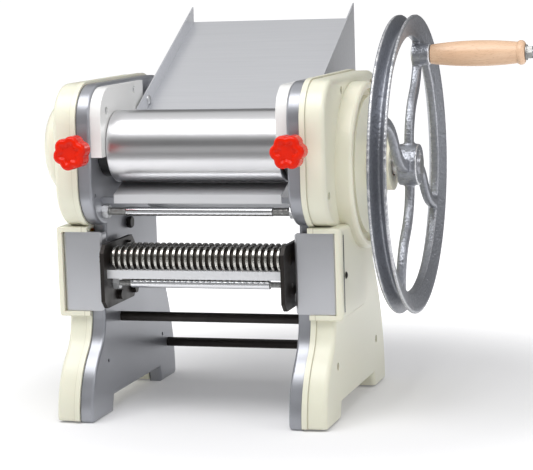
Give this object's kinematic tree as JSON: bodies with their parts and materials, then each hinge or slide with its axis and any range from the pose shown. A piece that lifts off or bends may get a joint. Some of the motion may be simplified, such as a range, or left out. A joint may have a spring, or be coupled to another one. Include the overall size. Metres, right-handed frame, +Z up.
{
  "type": "hand-cranked noodle machine",
  "caption": "Hand-cranked noodle machine with smooth sheeting rollers, gap knobs, a feed tray, a grooved cutting cassette, moulded side covers and a cast handwheel.",
  "frame": {"origin": "on the surface the machine stands on, under the middle of its overall box", "axes": "+X along the rollers towards the handwheel, +Y to the back, +Z up"},
  "size_m": [0.476, 0.356, 0.4085],
  "materials": {
    "cover_plastic": "moulded cream ABS, glossy",
    "cheek_plastic": "moulded off-white ABS, satin gloss",
    "frame_paint": "grey paint on cast metal, satin",
    "fascia_metal": "grey anodised sheet, satin",
    "roller_steel": "polished hard-chromed steel",
    "rod_steel": "bright plated steel",
    "cutter_steel": "turned steel",
    "plated_black": "black-brown plating, semi-gloss",
    "sheet_steel": "stainless sheet, fine brushed",
    "gear_steel": "cut steel, oiled",
    "screw_steel": "zinc plated",
    "bronze": "sintered bronze",
    "seal_black": "black moulded rubber",
    "knob_red": "red-orange plastic, glossy",
    "wheel_cast": "cast iron with grey hammer paint",
    "grip_beech": "turned beech, lacquered"
  },
  "bodies": {
    "root": {"left_side_frame": "frame_paint", "right_side_frame": "frame_paint", "left_cover": "cover_plastic", "right_cover": "cover_plastic", "cover_screws": "screw_steel", "left_fascia": "fascia_metal", "right_fascia": "fascia_metal", "left_cheek": "cheek_plastic", "right_cheek": "cheek_plastic", "cheek_screws": "screw_steel", "rear_roller_bushes": "bronze", "rear_roller_seals": "seal_black", "left_cassette_plate": "plated_black", "right_cassette_plate": "plated_black", "front_comb": "sheet_steel", "rear_comb": "sheet_steel", "cassette_tie_rod": "rod_steel", "cassette_tie_sleeve": "rod_steel", "cassette_tie_nuts": "screw_steel", "cassette_spacers": "screw_steel", "cassette_bolts": "screw_steel", "front_tie_rod": "rod_steel", "front_tie_sleeve": "rod_steel", "lower_tie_bar": "plated_black", "rear_tie_bars": "plated_black", "tie_bar_nuts": "screw_steel", "front_scraper": "sheet_steel", "rear_scraper": "sheet_steel", "scraper_brackets": "plated_black", "feed_tray": "sheet_steel", "tray_spacers": "screw_steel", "tray_screws": "screw_steel", "idler_pin": "screw_steel", "idler_clip": "screw_steel"},
    "drive_roller": {"rear_roller": "roller_steel", "rear_roller_gear": "gear_steel", "rear_roller_clip": "screw_steel", "drive_gear": "gear_steel", "handwheel": "wheel_cast", "wheel_key": "screw_steel", "handle_bolt": "screw_steel", "handle_nut": "rod_steel"},
    "handle_grip": {"handle_grip": "grip_beech"},
    "front_carriage": {"bearing_blocks": "gear_steel", "front_roller_bushes": "bronze", "front_roller_seals": "seal_black"},
    "front_roller": {"front_roller": "roller_steel", "front_roller_gear": "gear_steel", "front_roller_clip": "screw_steel"},
    "left_knob": {"left_gap_knob": "knob_red", "left_gap_stud": "screw_steel"},
    "right_knob": {"right_gap_knob": "knob_red", "right_gap_stud": "screw_steel"},
    "idler": {"idler_gear": "gear_steel"},
    "rear_cutter": {"rear_cutting_roll": "cutter_steel", "cutter_gear": "gear_steel", "rear_cutter_pair_gear": "gear_steel"},
    "front_cutter": {"front_cutting_roll": "cutter_steel", "front_cutter_pair_gear": "gear_steel"}
  },
  "joints": [
    {"name": "handwheel_spin", "type": "hinge", "parent": "root", "child": "drive_roller", "pos_m": [0.11715, -0.02381, 0.247], "axis": [1, 0, 0], "continuous": true},
    {"name": "handle_spin", "type": "hinge", "parent": "drive_roller", "child": "handle_grip", "pos_m": [0.18125, 0.02249, 0.35608], "axis": [1, 0, 0], "continuous": true},
    {"name": "left_knob_turn", "type": "hinge", "parent": "front_carriage", "child": "left_knob", "pos_m": [-0.1914, -0.1685, 0.2738], "axis": [0, -1, 0], "range_deg": [0, 720]},
    {"name": "roller_gap", "type": "slide", "parent": "root", "child": "front_carriage", "axis": [0, -1, 0], "range_m": [0, 0.003]},
    {"name": "right_knob_turn", "type": "hinge", "parent": "front_carriage", "child": "right_knob", "pos_m": [0.0305, -0.1685, 0.2738], "axis": [0, -1, 0], "range_deg": [0, 720]},
    {"name": "front_roller_spin", "type": "hinge", "parent": "front_carriage", "child": "front_roller", "pos_m": [-0.08045, -0.093, 0.2738], "axis": [1, 0, 0], "continuous": true},
    {"name": "idler_spin", "type": "hinge", "parent": "root", "child": "idler", "pos_m": [0.04515, -0.05881, 0.17954], "axis": [1, 0, 0], "continuous": true},
    {"name": "rear_cutter_spin", "type": "hinge", "parent": "root", "child": "rear_cutter", "pos_m": [-0.08045, -0.095, 0.1625], "axis": [1, 0, 0], "continuous": true},
    {"name": "front_cutter_spin", "type": "hinge", "parent": "root", "child": "front_cutter", "pos_m": [-0.08045, -0.119, 0.1625], "axis": [1, 0, 0], "continuous": true}
  ],
  "couplings": [
    {"joint": "front_roller_spin", "follows": "handwheel_spin", "ratio": -1},
    {"joint": "idler_spin", "follows": "handwheel_spin", "ratio": -2.4545},
    {"joint": "rear_cutter_spin", "follows": "handwheel_spin", "ratio": 3},
    {"joint": "front_cutter_spin", "follows": "handwheel_spin", "ratio": -3},
    {"joint": "left_knob_turn", "follows": "roller_gap", "rad_per_m": 4188.8},
    {"joint": "right_knob_turn", "follows": "roller_gap", "rad_per_m": 4188.8}
  ]
}
